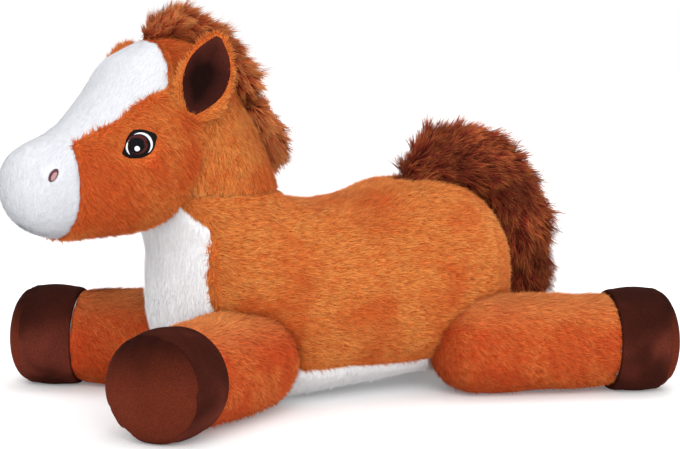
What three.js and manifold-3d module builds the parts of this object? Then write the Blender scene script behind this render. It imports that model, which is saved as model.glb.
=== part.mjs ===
import * as THREE from "three";
import { mergeVertices } from "three/addons/utils/BufferGeometryUtils.js";
import Module from "manifold-3d";

// A stuffed toy foal that lies on its belly with its legs spread.
// Millimetres, +Z up, nose towards -X, the foal's left side towards -Y.
// The floor is Z = 0 and the origin lies under the middle of the toy.

const wasm = await Module();
wasm.setup();

const degrees = THREE.MathUtils.degToRad;

// Sewing
const seamGap = 0.35; // between pieces that touch
const swingGap = 0.7; // round what moves, beside what stays
const coverThickness = 2.6; // plush cover, backing and pressed pile
const footCut = 0.5; // depth to which undersides are flattened by the floor
const overrun = 300; // how far a cutting shape runs past what it cuts

// Torso
const torso = {
  frontX: -152,
  length: 286,
  halfWidth: 72,
  baseZ: 0,
  height: 158,
  frontCapShare: 0.2,
  backCapShare: 0.25,
  capRoundness: 2.1,
  roundness: 2.3,
  widthShares: [0.84, 0.92, 0.95, 0.95, 1, 1, 0.93],
  topShares: [1.03, 1, 0.925, 0.895, 0.985, 0.995, 0.94],
  middleShares: [0.56, 0.5, 0.44, 0.45, 0.5, 0.52, 0.52],
  bottomShares: [0.03, -0.012, -0.003, 0.03, 0.05, 0.07, 0.12],
};

// Neck, a body of revolution about its leaning axis
const neck = {
  footX: -85,
  footZ: 70,
  lean: degrees(17.6),
  length: 155,
  radius: 43,
  crown: 17,
  radiusShares: [1, 1.1, 1.19, 1.17, 1.1, 1, 0.85],
  seamZ: 152,
  seamX: -18,
  mouthRadius: 26,
  napeShare: 0.86,
};

// Head, in its own frame before it is turned on the neck
const head = {
  turn: degrees(15),
  standX: -118,
  frontX: -156,
  length: 184,
  halfWidth: 48,
  baseZ: 124,
  height: 134,
  frontCapShare: 0.2,
  backCapShare: 0.3,
  capRoundness: 2.6,
  roundness: 2.15,
  widthShares: [0.66, 0.72, 0.85, 1, 0.95, 0.78, 0.6],
  topShares: [0.5, 0.52, 0.66, 0.92, 1, 0.985, 0.93],
  middleShares: [0.27, 0.26, 0.31, 0.4, 0.48, 0.56, 0.64],
  bottomShares: [0.03, 0, 0, 0.01, 0.06, 0.2, 0.42],
};

// Face
const blaze = {
  muzzleX: -122,
  muzzleZ: 187,
  midX: -90,
  midZ: 201,
  bendX: -68,
  bendZ: 221,
  browX: -52,
  browZ: 222,
  crownX: -41,
};
const eye = { x: -80, z: 185, halfLength: 10.4, halfHeight: 10.6, tilt: 0.2, yaw: 0, thickness: 0.9 };
const nostril = { x: -116, z: 167, halfLength: 2.6, halfHeight: 4.6, tilt: 0.5, yaw: 0.7, thickness: 0.8 };

// Ears, cupped leaves that turn on a rounded foot
const ear = {
  x: -36,
  y: 40,
  z: 203,
  footZ: -4.6,
  tipZ: 62,
  halfWidth: 22,
  halfThickness: 4.6,
  cup: 6,
  lift: 0,
  splay: degrees(5),
  lean: degrees(22),
  yaw: degrees(12),
};
const earLining = { footZ: 3, tipZ: 58, halfWidth: 16, halfThickness: 2.8, cup: 3.3, lift: 3.2 };
const leafWidthShares = [0.72, 0.92, 1, 0.9, 0.66, 0.36];
const leafThicknessShares = [1, 0.95, 0.85, 0.75, 0.65, 0.5];
const leafCapShare = 0.24;
const earGive = { inward: 4, outward: 20 };

// Forelock and mane, strips of long pile over the poll and down the nape
const forelock = {
  spine: [
    [-43, 0, 254],
    [-24, 0, 265],
    [0, -1, 269],
    [18, -4, 252],
    [32, -9, 237],
    [42, -13, 210],
  ],
  halfWidth: 14,
  halfDepth: 12,
  capShare: 0.3,
};
const mane = { lift: 8, topShare: 0.95, baseShare: 0.56, halfWidth: 12, halfDepth: 12, capShare: 0.22 };

// Tail, which arches up from the back and falls behind the rump
const tail = {
  spine: [
    [56, 143],
    [70, 163],
    [100, 170],
    [138, 154],
    [158, 116],
    [162, 74],
    [160, 34],
  ],
  rootRadius: 17,
  halfWidth: 20,
  halfDepth: 27,
  thicknessShares: [0.8, 1, 1.05, 1, 0.97, 0.87, 0.6],
  capShare: 0.14,
};

// Legs, bodies of revolution that start in a ball round the sewn root
const foreleg = {
  rootX: -98,
  rootY: 44,
  splay: degrees(36),
  length: 125,
  rootRadius: 36,
  hoofRadius: 36.5,
  shankShares: [1.01, 1, 0.97, 0.96],
};
const hindleg = {
  rootX: 84,
  rootY: 58,
  splay: degrees(17),
  length: 138,
  rootRadius: 36,
  hoofRadius: 38,
  shankShares: [1.01, 1, 0.98, 0.96],
};
const hoofLength = 38;
const soleDome = 13;
const cuffRound = 5;
const rimRound = 1.25;

// How far the sewn roots give, in degrees
const foreGive = { inward: 4, outward: 18 };
const hindGive = { inward: 3, outward: 16 };
const tailGive = 12;

// White gusset under throat, chest and belly
const gusset = {
  halfWidth: 50,
  chinHalfWidth: 45,
  chinZ: 130,
  throatHalfWidth: 30,
  throatZ: 190,
  chestX: -96,
  bellyZ: 27,
  backX: 96,
  flare: 16,
};

// Roundness of the meshes
const torsoMesh = { sides: 20, rings: 15 };
const headMesh = { sides: 18, rings: 14 };
const tailMesh = { sides: 12, rings: 12 };
const smallMesh = { sides: 10, rings: 8 };
const neckSegments = 20;
const legSegments = 16;
const roomSegments = 12;
const capSteps = 3;
const soleSteps = 4;
const shankSteps = 3;
const maneSteps = 3;
const legSwingSteps = 2;
const tailSwingSteps = 6;

const colours = {
  chestnut: 0xc8622c,
  white: 0xf4f1ea,
  chocolate: 0x4a2018,
  lining: 0x3f1f18,
  longPile: 0x8a3e1a,
  fibre: 0xf2f0ea,
  eye: 0x15100e,
  nostril: 0x9a6a5c,
};
const fabricRoughness = 0.95;
const threadRoughness = 0.5;

// A triangle mesh as a solid that can be cut and joined.
function toSolid(geometry) {
  const bare = geometry.clone();
  bare.deleteAttribute("normal");
  bare.deleteAttribute("uv");
  const merged = mergeVertices(bare, 1e-4);
  return new wasm.Manifold(
    new wasm.Mesh({
      numProp: 3,
      vertProperties: new Float32Array(merged.attributes.position.array),
      triVerts: new Uint32Array(merged.index.array),
    }),
  );
}

function toGeometry(solid) {
  const mesh = solid.getMesh();
  const geometry = new THREE.BufferGeometry();
  geometry.setAttribute("position", new THREE.BufferAttribute(mesh.vertProperties, 3));
  geometry.setIndex(new THREE.BufferAttribute(mesh.triVerts, 1));
  const flat = geometry.toNonIndexed();
  flat.computeVertexNormals();
  return flat;
}

function moved(solid, matrix) {
  return toSolid(toGeometry(solid).applyMatrix4(matrix));
}

function joined(solids) {
  return solids.reduce((a, b) => a.add(b));
}

// The value at share t of a list of evenly spaced shares, joined by a smooth curve.
function shareAt(shares, t) {
  const last = shares.length - 1;
  const start = Math.min(Math.floor(t * last), last - 1);
  const [a, b, c, d] = [-1, 0, 1, 2].map((k) => shares[THREE.MathUtils.clamp(start + k, 0, last)]);
  const f = t * last - start;
  return b + (f * (c - a + f * (2 * a - 5 * b + 4 * c - d + f * (3 * (b - c) + d - a)))) / 2;
}

// How full a form is at share t, when each end is drawn in to a point over its cap.
function fullness(t, startCap, endCap, roundness = 2) {
  const depth = Math.min(t / startCap, (1 - t) / endCap, 1);
  return (1 - (1 - depth) ** roundness) ** (1 / roundness);
}

// Shares along a form, closer together where its ends round off.
function spacedShares(rings) {
  return Array.from({ length: rings - 1 }, (_, i) => (1 - Math.cos((Math.PI * (i + 1)) / rings)) / 2);
}

// One coordinate of an oval whose corners fill out as the roundness goes above 2.
function oval(value, roundness) {
  return Math.sign(value) * Math.abs(value) ** (2 / roundness);
}

// A closed skin over rings of points, which turn right-handed about the way they advance.
function loft(start, rings, end) {
  const sides = rings[0].length;
  const points = [start, ...rings.flat(), end];
  const at = (ring, side) => 1 + ring * sides + (side % sides);
  const index = [];
  for (let side = 0; side < sides; side++) {
    index.push(0, at(0, side + 1), at(0, side));
    for (let ring = 0; ring < rings.length - 1; ring++) {
      index.push(at(ring, side), at(ring, side + 1), at(ring + 1, side));
      index.push(at(ring, side + 1), at(ring + 1, side + 1), at(ring + 1, side));
    }
    index.push(points.length - 1, at(rings.length - 1, side), at(rings.length - 1, side + 1));
  }
  const geometry = new THREE.BufferGeometry().setFromPoints(points);
  geometry.setIndex(index);
  return toSolid(geometry);
}

// A stuffed form with upright rings from its front to its back, swollen by grow all round.
function uprightForm(form, mesh, grow) {
  const { frontX, length, halfWidth, baseZ, height, frontCapShare, backCapShare } = form;
  const heightAt = (shares, t) => baseZ + height * shareAt(shares, t);
  const rings = spacedShares(mesh.rings).map((t) => {
    const full = fullness(t, frontCapShare, backCapShare, form.capRoundness);
    const x = frontX - grow + (length + 2 * grow) * t;
    const middle = heightAt(form.middleShares, t);
    const across = (halfWidth * shareAt(form.widthShares, t) + grow) * full;
    const up = (heightAt(form.topShares, t) - middle + grow) * full;
    const down = (middle - heightAt(form.bottomShares, t) + grow) * full;
    return Array.from({ length: mesh.sides }, (_, side) => {
      const angle = (Math.PI * (2 * side + 1)) / mesh.sides;
      const rise = oval(Math.sin(angle), form.roundness);
      const y = across * oval(Math.cos(angle), form.roundness);
      return new THREE.Vector3(x, y, middle + rise * (rise > 0 ? up : down));
    });
  });
  const start = new THREE.Vector3(frontX - grow, 0, heightAt(form.middleShares, 0));
  const end = new THREE.Vector3(frontX + length + grow, 0, heightAt(form.middleShares, 1));
  return loft(start, rings, end);
}

// A form strung along a curve, as wide as given across it, whose edges may curl up into a cup.
function spineForm({ points, across, widthAt, depthAt, cup = 0, capShare }, mesh, grow) {
  const curve = new THREE.CatmullRomCurve3(points);
  const side = new THREE.Vector3();
  const face = new THREE.Vector3();
  const rings = spacedShares(mesh.rings).map((t) => {
    const full = fullness(t, capShare, capShare);
    const along = curve.getTangentAt(t);
    face.crossVectors(along, across).normalize();
    side.crossVectors(face, along).normalize();
    const width = (widthAt(t) + grow) * full;
    const depth = (depthAt(t) + grow) * full;
    return Array.from({ length: mesh.sides }, (_, k) => {
      const angle = (2 * Math.PI * k) / mesh.sides;
      const curl = cup * Math.cos(angle) ** 2 * full;
      return curve
        .getPointAt(t)
        .addScaledVector(side, width * Math.cos(angle))
        .addScaledVector(face, depth * Math.sin(angle) + curl);
    });
  });
  const start = curve.getPointAt(0).addScaledVector(curve.getTangentAt(0), -grow);
  const end = curve.getPointAt(1).addScaledVector(curve.getTangentAt(1), grow);
  return loft(start, rings, end);
}

// A block between two corners.
function block(low, high) {
  const size = high.map((value, i) => value - low[i]);
  const centre = high.map((value, i) => (value + low[i]) / 2);
  return toSolid(new THREE.BoxGeometry(...size).translate(...centre));
}

// An outline in a plane, given depth from the plane on.
function slab(outline, depth, place) {
  const geometry = new THREE.ExtrudeGeometry(outline, { depth, bevelEnabled: false, curveSegments: 8 });
  return toSolid(geometry.applyMatrix4(place));
}

// How much a ring of flats is swollen so that its flats, not its corners, lie on the circle.
function flatsOutside(segments) {
  return 1 / Math.cos(Math.PI / segments);
}

function ball(radius, centre) {
  const geometry = new THREE.SphereGeometry(radius, legSegments, legSegments / 2);
  return toSolid(geometry.translate(...centre.toArray()));
}

// A ball whose flats all lie outside its radius.
function roomBall(radius, centre) {
  return ball(radius * flatsOutside(legSegments) ** 2, centre);
}

// Everything above the floor, cut so that what dips below it stands on a flat.
function onFloor(solid) {
  return solid.subtract(block([-overrun, -overrun, -overrun], [overrun, overrun, 0]));
}

// All the room that a solid needs as it turns about an upright line between two limits in degrees.
function sweptAbout(solid, pivot, low, high, steps) {
  const turns = Array.from({ length: steps + 1 }, (_, i) =>
    new THREE.Matrix4()
      .makeTranslation(pivot.x, pivot.y, 0)
      .multiply(new THREE.Matrix4().makeRotationZ(degrees(THREE.MathUtils.lerp(low, high, i / steps))))
      .multiply(new THREE.Matrix4().makeTranslation(-pivot.x, -pivot.y, 0)),
  );
  return joined(turns.map((turn) => moved(solid, turn)));
}

// Torso and neck

const neckUp = new THREE.Vector3(-Math.sin(neck.lean), 0, Math.cos(neck.lean));
const neckBack = new THREE.Vector3(Math.cos(neck.lean), 0, Math.sin(neck.lean));
const neckFoot = new THREE.Vector3(neck.footX, 0, neck.footZ);

function torsoForm(grow) {
  return uprightForm(torso, torsoMesh, grow);
}

// A point on the neck's axis at a share of its length, moved back from the axis.
function neckPoint(share, back) {
  return neckFoot.clone().addScaledVector(neckUp, neck.length * share).addScaledVector(neckBack, back);
}

function neckForm(grow, swell = 1) {
  const last = neck.radiusShares.length - 1;
  const profile = [new THREE.Vector2(0, -grow)];
  for (let i = 0; i <= last; i++) {
    const radius = (neck.radius * neck.radiusShares[i] + grow) * swell;
    profile.push(new THREE.Vector2(radius, i === 0 ? -grow : (neck.length * i) / last));
  }
  const crownRadius = (neck.radius * neck.radiusShares[last] + grow) * swell;
  for (let i = 1; i <= capSteps; i++) {
    const angle = (Math.PI / 2) * (i / capSteps);
    const radius = i === capSteps ? 0 : crownRadius * Math.cos(angle);
    profile.push(new THREE.Vector2(radius, neck.length + (neck.crown + grow) * Math.sin(angle)));
  }
  const geometry = new THREE.LatheGeometry(profile, neckSegments);
  geometry.applyQuaternion(new THREE.Quaternion().setFromUnitVectors(new THREE.Vector3(0, 1, 0), neckUp));
  return toSolid(geometry.translate(...neckFoot.toArray()));
}

// The half of space on one side of the seam across the nape: 1 for the head's, -1 for the body's.
function napeSide(direction) {
  const seam = neckPoint(neck.napeShare, 0).addScaledVector(neckUp, (direction * seamGap) / 2);
  const [low, high] = [0, direction * overrun].sort((a, b) => a - b);
  const half = block([-overrun, -overrun, low], [overrun, overrun, high]);
  const frame = new THREE.Matrix4().makeBasis(neckBack, new THREE.Vector3(0, 1, 0), neckUp);
  return moved(half, frame.setPosition(seam));
}

// Legs

// Radius of a leg's outside at a distance from the root's centre.
function legRadius(leg, distance) {
  return leg.rootRadius * shareAt(leg.shankShares, Math.min(distance / (leg.length - hoofLength), 1));
}

// Outline of the sleeve from the pole of its root to the hoof, as points of radius and distance.
function sleeveLine(leg, inset) {
  const ballRadius = leg.rootRadius - inset;
  const line = [];
  for (let i = 0; i <= capSteps; i++) {
    const angle = (Math.PI / 2) * (i / capSteps);
    const radius = i === 0 ? 0 : ballRadius * Math.sin(angle);
    line.push(new THREE.Vector2(radius, -ballRadius * Math.cos(angle)));
  }
  for (let i = 1; i <= shankSteps; i++) {
    const distance = ((leg.length - hoofLength) * i) / shankSteps;
    line.push(new THREE.Vector2(legRadius(leg, distance) - inset, distance));
  }
  return line;
}

// Outline of the hoof from the sleeve to the sole's seam.
function cuffLine(leg, inset) {
  const start = leg.length - hoofLength;
  return [
    new THREE.Vector2(legRadius(leg, start) - inset, start),
    new THREE.Vector2(leg.hoofRadius - inset, start + cuffRound),
    new THREE.Vector2(leg.hoofRadius - inset, leg.length - cuffRound),
    new THREE.Vector2(leg.hoofRadius - inset - rimRound, leg.length),
  ];
}

// Outline of the sole from its rim to the middle of its dome.
function soleLine(leg, inset) {
  const line = [];
  for (let i = 0; i <= soleSteps; i++) {
    const angle = (Math.PI / 2) * (i / soleSteps);
    const radius = i === soleSteps ? 0 : (leg.hoofRadius - rimRound - inset) * Math.cos(angle);
    line.push(new THREE.Vector2(radius, leg.length + (soleDome - inset) * Math.sin(angle)));
  }
  return line;
}

function legPlace(leg, side, forward) {
  const pivot = new THREE.Vector3(leg.rootX, side * leg.rootY, leg.rootRadius - footCut);
  const pitch = Math.asin((leg.hoofRadius - leg.rootRadius) / leg.length);
  const direction = new THREE.Vector3(
    forward * Math.cos(leg.splay) * Math.cos(pitch),
    side * Math.sin(leg.splay) * Math.cos(pitch),
    Math.sin(pitch),
  );
  const turn = new THREE.Quaternion().setFromUnitVectors(new THREE.Vector3(0, 1, 0), direction);
  return { pivot, turn };
}

// A profile of radius and distance turned about a leg's axis.
function legSolid(profile, place, segments = legSegments) {
  const geometry = new THREE.LatheGeometry(profile, segments);
  geometry.rotateY(Math.PI / segments);
  geometry.applyQuaternion(place.turn);
  return toSolid(geometry.translate(...place.pivot.toArray()));
}

function makeSleeve(leg, place) {
  const outer = sleeveLine(leg, 0);
  const inner = sleeveLine(leg, coverThickness);
  for (const line of [outer, inner]) line[line.length - 1].y -= seamGap;
  return onFloor(legSolid([...outer, ...inner.reverse()], place));
}

function makeCuff(leg, place) {
  const outer = cuffLine(leg, 0);
  const inner = cuffLine(leg, coverThickness);
  return onFloor(legSolid([...outer, ...inner.reverse(), outer[0].clone()], place));
}

function makeSole(leg, place) {
  const outer = soleLine(leg, 0);
  const inner = soleLine(leg, coverThickness);
  for (const point of [...outer, ...inner]) point.y += seamGap;
  return onFloor(legSolid([...outer, ...inner.reverse(), outer[0].clone()], place));
}

function makeLegFilling(leg, place) {
  const inset = coverThickness + seamGap;
  const [, cuffStart, cuffEnd] = cuffLine(leg, inset);
  const profile = [...sleeveLine(leg, inset), cuffStart, cuffEnd, ...soleLine(leg, inset).slice(1)];
  return onFloor(legSolid(profile, place));
}

const sides = [
  { name: "left", side: -1 },
  { name: "right", side: 1 },
];
const legs = sides.flatMap(({ name, side }) => [
  {
    name: `fore_${name}`,
    leg: foreleg,
    outwardTurn: -side,
    give: foreGive,
    place: legPlace(foreleg, side, -1),
  },
  {
    name: `hind_${name}`,
    leg: hindleg,
    outwardTurn: side,
    give: hindGive,
    place: legPlace(hindleg, side, 1),
  },
]);

// The room that the torso leaves for a leg: a ball round its root, and its shank over its swing.
function legRoom({ leg, outwardTurn, give, place }) {
  const shank = leg.length - hoofLength;
  const profile = [new THREE.Vector2(0, 0)];
  for (const share of [0, 1]) {
    const radius = (legRadius(leg, 0) + seamGap) * flatsOutside(roomSegments);
    profile.push(new THREE.Vector2(radius, shank * share));
  }
  profile.push(new THREE.Vector2(0, shank));
  const tube = legSolid(profile, place, roomSegments);
  const limits = [-give.inward * outwardTurn, give.outward * outwardTurn];
  const swept = sweptAbout(tube, place.pivot, ...limits, legSwingSteps);
  return swept.add(roomBall(leg.rootRadius + seamGap, place.pivot));
}

// Tail

const tailRoot = new THREE.Vector3(tail.spine[0][0], 0, tail.spine[0][1]);

function tailForm(grow) {
  const shape = {
    points: tail.spine.map(([x, z]) => new THREE.Vector3(x, 0, z)),
    across: new THREE.Vector3(0, 1, 0),
    widthAt: (t) => tail.halfWidth * shareAt(tail.thicknessShares, t),
    depthAt: (t) => tail.halfDepth * shareAt(tail.thicknessShares, t),
    capShare: tail.capShare,
  };
  return spineForm(shape, tailMesh, grow);
}

function makeTail() {
  return tailForm(0).add(ball(tail.rootRadius, tailRoot));
}

function tailRoom() {
  const swept = sweptAbout(tailForm(swingGap), tailRoot, -tailGive, tailGive, tailSwingSteps);
  return swept.add(roomBall(tail.rootRadius + seamGap, tailRoot));
}

// Head

// The head's own frame, turned about the neck's axis.
const headFrame = new THREE.Matrix4()
  .makeTranslation(...neckFoot.toArray())
  .multiply(new THREE.Matrix4().makeRotationAxis(neckUp, head.turn))
  .multiply(new THREE.Matrix4().makeTranslation(head.standX - neckFoot.x, 0, -neckFoot.z));
const toHead = headFrame.clone().invert();
const sideways = new THREE.Matrix4().makeRotationX(Math.PI / 2);

function headForm(grow) {
  return uprightForm(head, headMesh, grow);
}

// The region of the white face, bounded by an outline that is seen from the side.
function whiteFace(grow) {
  const top = head.baseZ + head.height + overrun;
  const outline = new THREE.Shape();
  outline.moveTo(blaze.muzzleX, head.baseZ - overrun);
  outline.lineTo(blaze.muzzleX, blaze.muzzleZ);
  outline.lineTo(blaze.midX, blaze.midZ);
  outline.quadraticCurveTo(blaze.bendX, blaze.bendZ, blaze.browX, blaze.browZ);
  outline.lineTo(blaze.crownX, head.baseZ + head.height);
  outline.lineTo(blaze.crownX, top);
  outline.lineTo(head.frontX - overrun, top);
  outline.lineTo(head.frontX - overrun, head.baseZ - overrun);
  const place = new THREE.Matrix4().makeTranslation(grow, overrun, -grow).multiply(sideways);
  return slab(outline, 2 * overrun, place);
}

function earFrame(side) {
  return new THREE.Matrix4()
    .makeTranslation(ear.x, side * ear.y, ear.z)
    .multiply(new THREE.Matrix4().makeRotationZ(side * ear.yaw))
    .multiply(new THREE.Matrix4().makeRotationY(ear.lean))
    .multiply(new THREE.Matrix4().makeRotationX(-side * ear.splay));
}

// A leaf that stands on the ear's hinge line and is cupped outwards.
function leaf({ footZ, tipZ, halfWidth, halfThickness, cup, lift }, side, grow) {
  const shape = {
    points: [footZ, tipZ].map((z) => new THREE.Vector3(0, side * lift, z)),
    across: new THREE.Vector3(side, 0, 0),
    widthAt: (t) => halfWidth * shareAt(leafWidthShares, t),
    depthAt: (t) => halfThickness * shareAt(leafThicknessShares, t),
    cup,
    capShare: leafCapShare,
  };
  return spineForm(shape, smallMesh, grow);
}

// The groove in the head in which an ear turns.
function earRoom(side) {
  const turns = [-earGive.outward, 0, earGive.inward].map((angle) =>
    earFrame(side).multiply(new THREE.Matrix4().makeRotationX(side * degrees(angle))),
  );
  return joined(turns.map((turn) => moved(leaf(ear, side, swingGap), turn)));
}

function makeEar(side, neckRoom) {
  const shell = leaf(ear, side, 0).subtract(leaf(earLining, side, seamGap));
  return moved(shell, earFrame(side)).subtract(neckRoom);
}

function makeEarLining(side) {
  return moved(leaf(earLining, side, 0), earFrame(side));
}

// A stitched patch that follows the head's surface under an oval outline.
function patch({ x, z, halfLength, halfHeight, tilt, yaw, thickness }, side) {
  const outline = new THREE.Shape().absellipse(0, 0, halfLength, halfHeight, 0, 2 * Math.PI);
  const place = new THREE.Matrix4()
    .makeTranslation(x, 0, z)
    .multiply(new THREE.Matrix4().makeRotationZ(side * yaw))
    .multiply(new THREE.Matrix4().makeTranslation(0, side > 0 ? overrun : 0, 0))
    .multiply(new THREE.Matrix4().makeRotationY(tilt))
    .multiply(sideways);
  return slab(outline, overrun, place).intersect(headForm(thickness + seamGap)).subtract(headForm(seamGap));
}

// A strip of long pile along a line of points.
function pileStrip({ halfWidth, halfDepth, capShare }, points) {
  const shape = {
    points,
    across: new THREE.Vector3(0, 1, 0),
    widthAt: () => halfWidth,
    depthAt: () => halfDepth,
    capShare,
  };
  return spineForm(shape, smallMesh, 0);
}

function makeForelock(neckRoom) {
  const points = forelock.spine.map((point) => new THREE.Vector3(...point));
  const strip = pileStrip(forelock, points).subtract(headForm(seamGap)).subtract(neckRoom);
  return strip.intersect(moved(napeSide(1), toHead));
}

function makeMane() {
  const points = Array.from({ length: maneSteps + 1 }, (_, i) => {
    const share = THREE.MathUtils.lerp(mane.topShare, mane.baseShare, i / maneSteps);
    return neckPoint(share, neck.radius * shareAt(neck.radiusShares, share) + mane.lift);
  });
  const strip = pileStrip(mane, points).subtract(neckForm(seamGap)).subtract(torsoForm(seamGap));
  return strip.intersect(napeSide(-1));
}

// The region of the white gusset: a strip down throat and chest, and the belly behind it.
function whiteFront(grow) {
  const { halfWidth, chinHalfWidth, chinZ, throatHalfWidth, throatZ, chestX, bellyZ, backX, flare } = gusset;
  const strip = new THREE.Shape();
  strip.moveTo(-overrun, -overrun);
  strip.lineTo(overrun, -overrun);
  strip.lineTo(overrun, bellyZ + flare + grow);
  strip.quadraticCurveTo(halfWidth + grow, bellyZ + flare + grow, halfWidth + grow, neck.footZ);
  strip.lineTo(chinHalfWidth + grow, chinZ);
  strip.lineTo(throatHalfWidth + grow, neck.seamZ);
  strip.lineTo(throatHalfWidth + grow, throatZ + grow);
  strip.lineTo(-throatHalfWidth - grow, throatZ + grow);
  strip.lineTo(-throatHalfWidth - grow, neck.seamZ);
  strip.lineTo(-chinHalfWidth - grow, chinZ);
  strip.lineTo(-halfWidth - grow, neck.footZ);
  strip.quadraticCurveTo(-halfWidth - grow, bellyZ + flare + grow, -overrun, bellyZ + flare + grow);
  const upright = new THREE.Matrix4().makeBasis(
    new THREE.Vector3(0, 1, 0),
    new THREE.Vector3(0, 0, 1),
    new THREE.Vector3(1, 0, 0),
  );
  const throat = slab(strip, overrun, upright.setPosition(chestX + grow - overrun, 0, 0));
  return throat.add(block([-overrun, -overrun, -overrun], [backX + grow, overrun, bellyZ + grow]));
}

// Assembly

const toy = new THREE.Group();
const middle = new THREE.Group();
toy.add(middle);

function addPiece(parent, name, solid, colour, roughness = fabricRoughness) {
  const material = new THREE.MeshStandardMaterial({ color: colour, roughness, metalness: 0 });
  const mesh = new THREE.Mesh(toGeometry(solid), material);
  mesh.name = name;
  parent.add(mesh);
}

// Everything above the neck's lower seam, ahead of the withers.
function neckRegion(grow) {
  return block([-overrun, -overrun, neck.seamZ - grow], [neck.seamX + grow, overrun, overrun]);
}

function addBody() {
  const inset = coverThickness + seamGap;
  const room = joined([tailRoom(), ...legs.map(legRoom)]);
  const mouth = ball(neck.mouthRadius, neckPoint(1, 0).addScaledVector(neckUp, neck.crown));
  const lining = torsoForm(-coverThickness).add(neckForm(-coverThickness));
  const wholeCover = torsoForm(0).add(neckForm(0)).subtract(lining);
  const cover = onFloor(wholeCover.subtract(room).subtract(mouth));
  const filling = torsoForm(-inset).add(neckForm(-inset));
  const brown = cover.subtract(whiteFront(seamGap));
  addPiece(middle, "torso_plush", brown.subtract(neckRegion(seamGap)), colours.chestnut);
  addPiece(middle, "neck_plush", brown.intersect(neckRegion(0)), colours.chestnut);
  addPiece(middle, "belly_panel", cover.intersect(whiteFront(0)), colours.white);
  addPiece(middle, "body_stuffing", onFloor(filling.subtract(room)), colours.fibre);
  addPiece(middle, "mane", makeMane(), colours.longPile);
  addPiece(middle, "tail", makeTail(), colours.longPile);
}

function addLegs() {
  for (const { name, leg, place } of legs) {
    addPiece(middle, `${name}_sleeve`, makeSleeve(leg, place), colours.chestnut);
    addPiece(middle, `${name}_stuffing`, makeLegFilling(leg, place), colours.fibre);
    addPiece(middle, `${name}_hoof_cuff`, makeCuff(leg, place), colours.chocolate);
    addPiece(middle, `${name}_sole`, makeSole(leg, place), colours.chocolate);
  }
}

// One side of the head, up to the seam under its chin.
function headHalf(side) {
  const limits = [(side * seamGap) / 2, side * overrun].sort((a, b) => a - b);
  return block([-overrun, limits[0], -overrun], [overrun, limits[1], head.baseZ + overrun]);
}

function addHead() {
  const group = new THREE.Group();
  group.applyMatrix4(headFrame);
  middle.add(group);
  const neckRoom = moved(neckForm(seamGap, flatsOutside(neckSegments)), toHead);
  const room = joined([neckRoom, ...sides.map(({ side }) => earRoom(side))]);
  const cover = headForm(0).subtract(headForm(-coverThickness)).subtract(room);
  const brown = cover.subtract(whiteFace(seamGap));
  const filling = headForm(-coverThickness - seamGap).subtract(room);
  for (const { name, side } of sides) {
    addPiece(group, `cheek_${name}`, brown.intersect(headHalf(side)), colours.chestnut);
    addPiece(group, `ear_${name}`, makeEar(side, neckRoom), colours.chestnut);
    addPiece(group, `ear_lining_${name}`, makeEarLining(side), colours.lining);
    addPiece(group, `eye_${name}`, patch(eye, side), colours.eye, threadRoughness);
    addPiece(group, `nostril_${name}`, patch(nostril, side), colours.nostril, threadRoughness);
  }
  addPiece(group, "face_blaze", cover.intersect(whiteFace(0)), colours.white);
  addPiece(group, "head_stuffing", filling, colours.fibre);
  addPiece(group, "forelock", makeForelock(neckRoom), colours.longPile);
}

addBody();
addLegs();
addHead();

const bounds = new THREE.Box3().setFromObject(toy, true);
const centre = bounds.getCenter(new THREE.Vector3());
middle.position.set(-centre.x, -centre.y, -bounds.min.z);

export default toy;
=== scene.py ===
import math
import random

import bmesh
import bpy
from mathutils import Matrix, Vector, noise
from mathutils.bvhtree import BVHTree
from mathutils.kdtree import KDTree


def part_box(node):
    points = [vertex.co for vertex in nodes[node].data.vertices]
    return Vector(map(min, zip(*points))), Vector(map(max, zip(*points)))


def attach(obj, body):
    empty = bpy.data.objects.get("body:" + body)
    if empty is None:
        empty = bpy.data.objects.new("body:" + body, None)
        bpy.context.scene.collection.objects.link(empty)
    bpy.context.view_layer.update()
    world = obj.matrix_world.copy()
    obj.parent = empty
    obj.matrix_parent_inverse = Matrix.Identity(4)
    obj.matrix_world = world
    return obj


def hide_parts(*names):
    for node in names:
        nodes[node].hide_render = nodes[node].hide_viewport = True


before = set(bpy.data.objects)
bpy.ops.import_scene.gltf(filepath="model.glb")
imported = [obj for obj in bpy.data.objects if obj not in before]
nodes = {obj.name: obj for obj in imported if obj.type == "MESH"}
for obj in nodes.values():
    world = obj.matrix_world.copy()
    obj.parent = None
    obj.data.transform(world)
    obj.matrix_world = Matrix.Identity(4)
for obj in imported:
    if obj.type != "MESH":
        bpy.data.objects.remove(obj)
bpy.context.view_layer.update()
sides = {"left": -1, "right": 1}

# Lowest heights of the soft forms and of their pile, in metres.
softFloor, pileFloor = 0.0004, 0.0003

# The camera stands where the photograph was taken from.
shot = {
    "azimuth": -28,
    "elevation": 6.4,
    "distance": 1.4,
    "target": (0.0177, 0.0007, 0.122),
    "lens": 100.2,
    "sensor": 36,
    "roll": -0.7,
}


def viewBack():
    turn, rise = math.radians(shot["azimuth"]), math.radians(shot["elevation"])
    return Vector((math.sin(turn) * math.cos(rise), -math.cos(turn) * math.cos(rise), math.sin(rise)))


def addCamera():
    data = bpy.data.cameras.new("photoCamera")
    data.lens, data.sensor_width = shot["lens"], shot["sensor"]
    camera = bpy.data.objects.new("photoCamera", data)
    camera.location = Vector(shot["target"]) + viewBack() * shot["distance"]
    aim = viewBack().to_track_quat("Z", "Y").to_matrix() @ Matrix.Rotation(-math.radians(shot["roll"]), 3, "Z")
    camera.rotation_euler = aim.to_euler()
    bpy.context.collection.objects.link(camera)
    bpy.context.scene.camera = camera


addCamera()


# Meshes

def addObject(name, mesh, material=None):
    thing = bpy.data.objects.new(name, mesh)
    bpy.context.collection.objects.link(thing)
    if material:
        mesh.materials.clear()
        mesh.materials.append(material)
    return thing


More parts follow.
